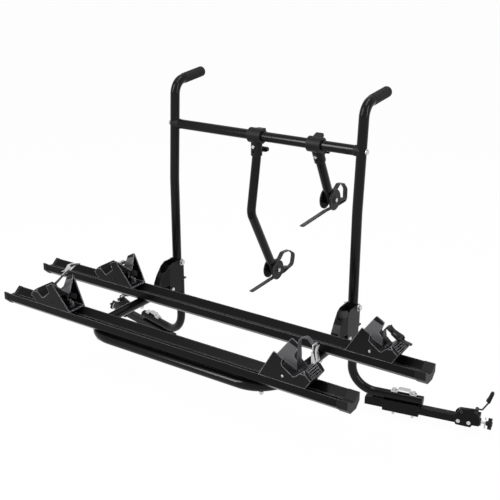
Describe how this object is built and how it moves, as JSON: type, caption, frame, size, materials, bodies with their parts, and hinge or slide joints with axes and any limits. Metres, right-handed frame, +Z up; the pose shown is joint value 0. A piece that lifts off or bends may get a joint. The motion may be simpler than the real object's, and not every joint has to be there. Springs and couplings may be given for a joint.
{
  "type": "drawbar bike carrier",
  "caption": "Folding drawbar bike carrier: a tube frame on telescopic clamp arms, wheel rails with sliding chocks and swinging frame-holder arms.",
  "frame": {"origin": "drawbar seat: on the frame's middle plane, at the level of the telescopic bars' axes and midway in Y between the inner faces of the two clamp washers", "axes": "+X along the wheel rails to the right, +Y backward to the caravan or motorhome, +Z up"},
  "size_m": [1.5119, 0.7175, 0.9746],
  "materials": {
    "tube_black": "gloss powder coat",
    "plate_black": "satin powder coat",
    "zinc": "bright zinc plate",
    "lever_steel": "black rod, dark moulded grip",
    "rail_black": "black anodised",
    "moulded_black": "fine moulded grain",
    "grip_rubber": "matte",
    "strap_black": "ribbed",
    "buckle_silver": "satin"
  },
  "bodies": {
    "platform": {"bracket_left": "plate_black", "bracket_right": "plate_black", "leg_left": "tube_black", "leg_right": "tube_black", "sleeve_left": "plate_black", "sleeve_right": "plate_black", "leg_caps": "moulded_black", "sleeve_liners": "moulded_black", "saddle_straps": "zinc", "saddle_bolts": "zinc", "pivot_bolts": "zinc", "hoop": "tube_black", "hoop_bolts": "zinc", "rail_front": "rail_black", "rail_back": "rail_black", "rail_caps": "moulded_black"},
    "upright_frame": {"upright_left": "tube_black", "upright_right": "tube_black", "grips": "grip_rubber", "crossbar": "tube_black", "crossbar_saddles": "moulded_black", "crossbar_bolts": "zinc"},
    "bar_left": {"bar_left": "plate_black", "clamp_housing_left": "plate_black", "clamp_bolts_left": "zinc"},
    "clamp_lever_left": {"clamp_lever_left": "lever_steel"},
    "clamp_screw_left": {"clamp_screw_left": "zinc", "star_knob_left": "moulded_black"},
    "bar_right": {"bar_right": "plate_black", "clamp_housing_right": "plate_black", "clamp_bolts_right": "zinc"},
    "clamp_lever_right": {"clamp_lever_right": "lever_steel"},
    "clamp_screw_right": {"clamp_screw_right": "zinc", "star_knob_right": "moulded_black"},
    "arm_long": {"collar_long": "moulded_black", "arm_long": "tube_black", "arm_bolts_long": "zinc"},
    "collar_knob_long": {"collar_knob_long": "moulded_black"},
    "head_long": {"head_long": "moulded_black", "holder_strap_long": "strap_black"},
    "ratchet_lever_long": {"ratchet_lever_long": "moulded_black"},
    "arm_short": {"collar_short": "moulded_black", "arm_short": "tube_black", "arm_bolts_short": "zinc"},
    "collar_knob_short": {"collar_knob_short": "moulded_black"},
    "head_short": {"head_short": "moulded_black", "holder_strap_short": "strap_black"},
    "ratchet_lever_short": {"ratchet_lever_short": "moulded_black"},
    "chock_front_right": {"chock_front_right": "moulded_black", "chock_strap_front_right": "strap_black", "chock_buckle_front_right": "buckle_silver"},
    "chock_back_right": {"chock_back_right": "moulded_black", "chock_strap_back_right": "strap_black", "chock_buckle_back_right": "buckle_silver"},
    "chock_front_left": {"chock_front_left": "moulded_black", "chock_strap_front_left": "strap_black", "chock_buckle_front_left": "buckle_silver"},
    "chock_back_left": {"chock_back_left": "moulded_black", "chock_strap_back_left": "strap_black", "chock_buckle_back_left": "buckle_silver"}
  },
  "joints": [
    {"name": "frame_fold", "type": "hinge", "parent": "platform", "child": "upright_frame", "pos_m": [0, -0.10269, 0.3094], "axis": [1, 0, 0], "range_deg": [0, 80]},
    {"name": "bar_slide_left", "type": "slide", "parent": "platform", "child": "bar_left", "axis": [-0.9694, 0.2453, 0], "range_m": [-0.02, 0.06]},
    {"name": "clamp_lever_swing_left", "type": "hinge", "parent": "bar_left", "child": "clamp_lever_left", "pos_m": [-0.70487, 0.00561, 0.038], "axis": [0.2453, 0.9694, 0], "range_deg": [-130, 10]},
    {"name": "clamp_screw_turn_left", "type": "hinge", "parent": "bar_left", "child": "clamp_screw_left", "pos_m": [-0.72959, 0.01186, 0], "axis": [-0.9694, 0.2453, 0], "continuous": true},
    {"name": "bar_slide_right", "type": "slide", "parent": "platform", "child": "bar_right", "axis": [0.9823, 0.1874, 0], "range_m": [-0.02, 0.06]},
    {"name": "clamp_lever_swing_right", "type": "hinge", "parent": "bar_right", "child": "clamp_lever_right", "pos_m": [0.7098, -0.01664, 0.038], "axis": [-0.1874, 0.9823, 0], "range_deg": [-100, 40]},
    {"name": "clamp_screw_turn_right", "type": "hinge", "parent": "bar_right", "child": "clamp_screw_right", "pos_m": [0.73485, -0.01186, 0], "axis": [0.9823, 0.1874, 0], "continuous": true},
    {"name": "arm_swing_long", "type": "hinge", "parent": "upright_frame", "child": "arm_long", "pos_m": [-0.0195, -0.09293, 0.7796], "axis": [1, 0, 0], "range_deg": [-100, 60]},
    {"name": "collar_knob_turn_long", "type": "hinge", "parent": "arm_long", "child": "collar_knob_long", "pos_m": [-0.0195, -0.07693, 0.7316], "axis": [0, 1, 0], "continuous": true},
    {"name": "head_swing_long", "type": "hinge", "parent": "arm_long", "child": "head_long", "pos_m": [-0.0195, 0.01127, 0.3134], "axis": [1, 0, 0], "range_deg": [-40, 10]},
    {"name": "ratchet_release_long", "type": "hinge", "parent": "head_long", "child": "ratchet_lever_long", "pos_m": [-0.0195, 0.05127, 0.3004], "axis": [1, 0, 0], "range_deg": [0, 35]},
    {"name": "arm_swing_short", "type": "hinge", "parent": "upright_frame", "child": "arm_short", "pos_m": [0.1855, -0.09293, 0.7796], "axis": [1, 0, 0], "range_deg": [-100, 60]},
    {"name": "collar_knob_turn_short", "type": "hinge", "parent": "arm_short", "child": "collar_knob_short", "pos_m": [0.1855, -0.05676, 0.74422], "axis": [0, 0.8894, 0.4571], "continuous": true},
    {"name": "head_swing_short", "type": "hinge", "parent": "arm_short", "child": "head_short", "pos_m": [0.1855, 0.00429, 0.59042], "axis": [1, 0, 0], "range_deg": [-40, 10]},
    {"name": "ratchet_release_short", "type": "hinge", "parent": "head_short", "child": "ratchet_lever_short", "pos_m": [0.1855, 0.04429, 0.57742], "axis": [1, 0, 0], "range_deg": [0, 35]},
    {"name": "chock_slide_front_right", "type": "slide", "parent": "platform", "child": "chock_front_right", "axis": [1, 0, 0], "range_m": [-0.15, 0.07]},
    {"name": "chock_slide_back_right", "type": "slide", "parent": "platform", "child": "chock_back_right", "axis": [1, 0, 0], "range_m": [-0.15, 0.045]},
    {"name": "chock_slide_front_left", "type": "slide", "parent": "platform", "child": "chock_front_left", "axis": [-1, 0, 0], "range_m": [-0.15, 0.11]},
    {"name": "chock_slide_back_left", "type": "slide", "parent": "platform", "child": "chock_back_left", "axis": [-1, 0, 0], "range_m": [-0.15, 0.22]}
  ]
}
